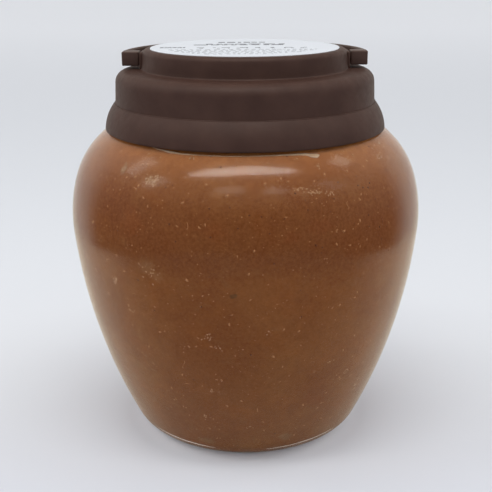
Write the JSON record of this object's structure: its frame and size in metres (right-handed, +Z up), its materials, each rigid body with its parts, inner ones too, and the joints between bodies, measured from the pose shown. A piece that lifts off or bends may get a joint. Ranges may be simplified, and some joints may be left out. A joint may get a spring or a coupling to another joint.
{
  "type": "jar of soybean paste",
  "caption": "Wide-shouldered clear jar filled with brown soybean paste, with a tiered dark brown screw cap, a folding bail handle and a round top label.",
  "frame": {"origin": "centre of the circle the jar stands on", "axes": "+Z up along the jar's axis; the hinge of the bail runs along X; the bail lies folded towards +Y; the shown front is -Y"},
  "size_m": [0.145, 0.145, 0.1605],
  "materials": {
    "clear_jar": "clear blown PET, glossy",
    "paste": "moist coarse soybean paste with pale bean flecks",
    "cap": "fine matte moulded polypropylene, dark brown",
    "label": "white printed paper"
  },
  "bodies": {
    "jar": {"jar": "clear_jar", "paste": "paste", "cap": "cap", "label": "label"},
    "handle": {"handle": "cap"}
  },
  "joints": [
    {"name": "bail_hinge", "type": "hinge", "parent": "jar", "child": "handle", "pos_m": [0, 0, 0.1562], "axis": [1, 0, 0], "range_deg": [0, 180]}
  ]
}
